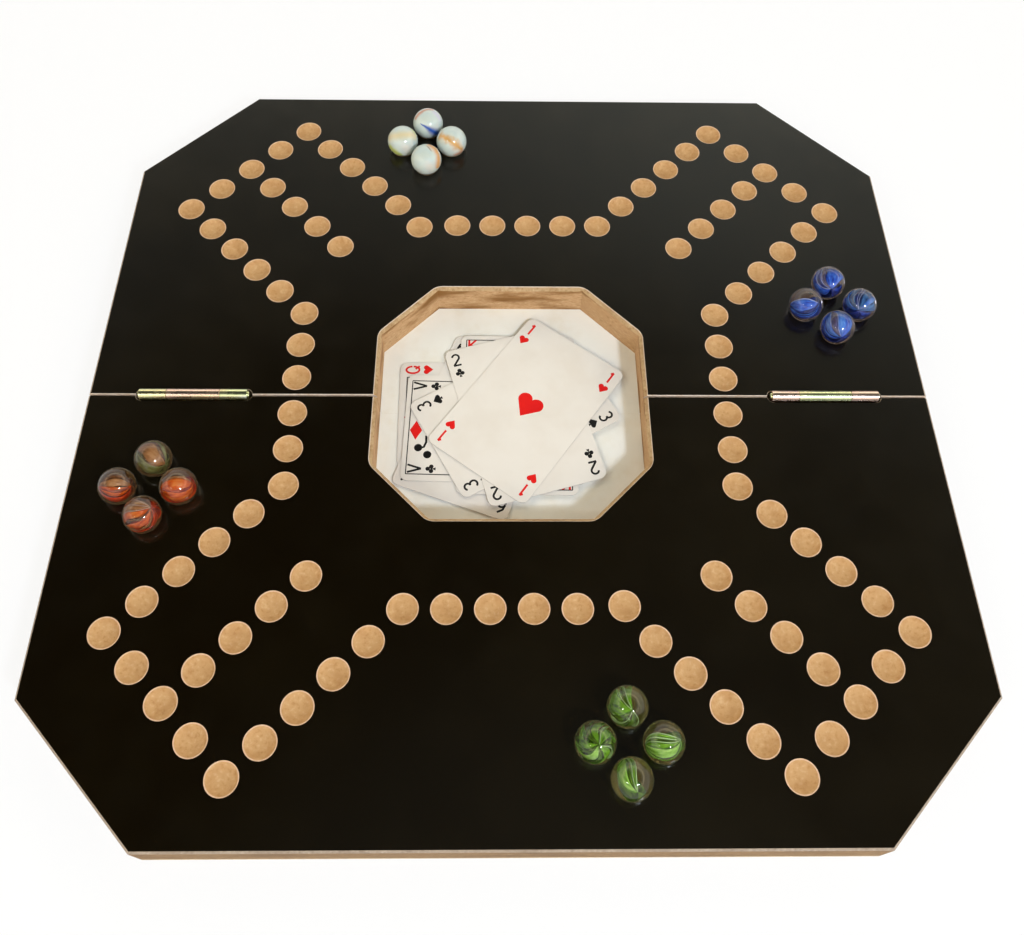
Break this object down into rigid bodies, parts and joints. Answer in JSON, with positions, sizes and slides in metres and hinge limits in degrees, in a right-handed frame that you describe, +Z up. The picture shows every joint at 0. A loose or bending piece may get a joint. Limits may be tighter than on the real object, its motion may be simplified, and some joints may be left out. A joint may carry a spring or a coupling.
{
  "type": "folding marble and card race board",
  "caption": "Folding black octagonal board with a marble track of dimples, a card tray in the middle, two butt hinges, glass marbles and playing cards.",
  "frame": {"origin": "on the table, under the middle of the open board", "axes": "+X along the fold to the right, +Y from the near edge to the far edge, +Z up"},
  "size_m": [0.401, 0.393, 0.0351],
  "materials": {
    "black_faced_board": "satin black face on medium-density fibreboard, bare tan board in the dimples, the tray's walls and the edges",
    "white_faced_sheet": "thin fibreboard sheet with a warm white face up and bare brown board below",
    "zinc_hinge": "rolled steel with yellow zinc passivation",
    "zinc_screws": "steel wood screws with yellow zinc passivation",
    "white_glass": "glossy opaque white glass with thin coloured swirls",
    "blue_glass": "clear glossy glass with blue ribbons inside",
    "orange_glass": "clear glossy glass with orange-red ribbons inside",
    "green_glass": "clear glossy glass with bright green ribbons inside",
    "playing_card": "coated white card with printed suit pips and a plain crossed back"
  },
  "bodies": {
    "near_half": {"near_board": "black_faced_board", "near_floor_panel": "white_faced_sheet", "left_hinge_near_leaf": "zinc_hinge", "left_hinge_pin": "zinc_hinge", "left_hinge_near_screws": "zinc_screws", "right_hinge_near_leaf": "zinc_hinge", "right_hinge_pin": "zinc_hinge", "right_hinge_near_screws": "zinc_screws"},
    "far_half": {"far_board": "black_faced_board", "far_floor_panel": "white_faced_sheet", "left_hinge_far_leaf": "zinc_hinge", "left_hinge_far_screws": "zinc_screws", "right_hinge_far_leaf": "zinc_hinge", "right_hinge_far_screws": "zinc_screws"},
    "near_marbles": {"near_marble_1": "green_glass", "near_marble_2": "green_glass", "near_marble_3": "green_glass", "near_marble_4": "green_glass"},
    "left_marbles": {"left_marble_1": "orange_glass", "left_marble_2": "orange_glass", "left_marble_3": "orange_glass", "left_marble_4": "orange_glass"},
    "far_marbles": {"far_marble_1": "white_glass", "far_marble_2": "white_glass", "far_marble_3": "white_glass", "far_marble_4": "white_glass"},
    "right_marbles": {"right_marble_1": "blue_glass", "right_marble_2": "blue_glass", "right_marble_3": "blue_glass", "right_marble_4": "blue_glass"},
    "cards": {"card_heart_queen": "playing_card", "card_spade_six": "playing_card", "card_club_jack": "playing_card", "card_heart_king": "playing_card", "card_spade_three": "playing_card", "card_club_two": "playing_card", "card_heart_ace": "playing_card"}
  },
  "joints": [
    {"name": "fold", "type": "hinge", "parent": "near_half", "child": "far_half", "pos_m": [0, 0, 0.0215], "axis": [1, 0, 0], "range_deg": [0, 180]},
    {"name": "near_marbles_lift", "type": "hinge", "parent": "near_half", "child": "near_marbles", "pos_m": [0.0457, -0.206, 0.01762], "axis": [1, 0, 0], "range_deg": [0, 180]},
    {"name": "left_marbles_lift", "type": "hinge", "parent": "near_half", "child": "left_marbles", "pos_m": [-0.21, -0.05, 0.01762], "axis": [0, -1, 0], "range_deg": [0, 180]},
    {"name": "far_marbles_lift", "type": "hinge", "parent": "far_half", "child": "far_marbles", "pos_m": [-0.0457, 0.206, 0.03058], "axis": [-1, 0, 0], "range_deg": [0, 180]},
    {"name": "right_marbles_lift", "type": "hinge", "parent": "far_half", "child": "right_marbles", "pos_m": [0.21, 0.05, 0.03058], "axis": [0, 1, 0], "range_deg": [0, 180]},
    {"name": "cards_lift", "type": "hinge", "parent": "near_half", "child": "cards", "pos_m": [0, -0.206, 0.0027], "axis": [1, 0, 0], "range_deg": [0, 180]}
  ],
  "couplings": [
    {"joint": "near_marbles_lift", "follows": "fold", "ratio": 1},
    {"joint": "left_marbles_lift", "follows": "fold", "ratio": 1},
    {"joint": "far_marbles_lift", "follows": "fold", "ratio": 1},
    {"joint": "right_marbles_lift", "follows": "fold", "ratio": 1},
    {"joint": "cards_lift", "follows": "fold", "ratio": 1}
  ]
}
